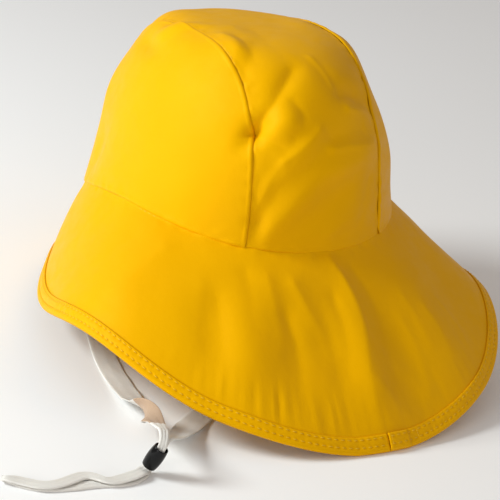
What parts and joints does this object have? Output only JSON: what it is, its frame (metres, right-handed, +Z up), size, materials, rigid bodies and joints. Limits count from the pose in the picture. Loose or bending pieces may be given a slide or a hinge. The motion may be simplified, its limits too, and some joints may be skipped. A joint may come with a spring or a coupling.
{
  "type": "souwester rain hat",
  "caption": "Sou'wester rain hat in coated cloth, with a panelled crown, a brim short in front and long behind, a bound rim, and a flat chin tape doubled through a barrel lock.",
  "frame": {"origin": "on the ground the hat stands on, under the middle of the rim's bounding box; the tape and its lock aren't counted", "axes": "+Z up, +Y from the short front brim to the long rear brim, +X to the wearer's left"},
  "size_m": [0.3723, 0.3206, 0.1934],
  "materials": {
    "coated_cloth": "yellow coated cotton, semi-gloss, stitched along its rim",
    "cotton_tape": "off-white woven cotton tape, a little darker on its back",
    "lock_plastic": "black, polished"
  },
  "bodies": {
    "root": {"crown_strip": "coated_cloth", "crown_side_left": "coated_cloth", "crown_side_right": "coated_cloth", "brim": "coated_cloth", "rim_band": "coated_cloth", "chin_tape": "cotton_tape", "tape_lock": "lock_plastic"}
  },
  "joints": []
}
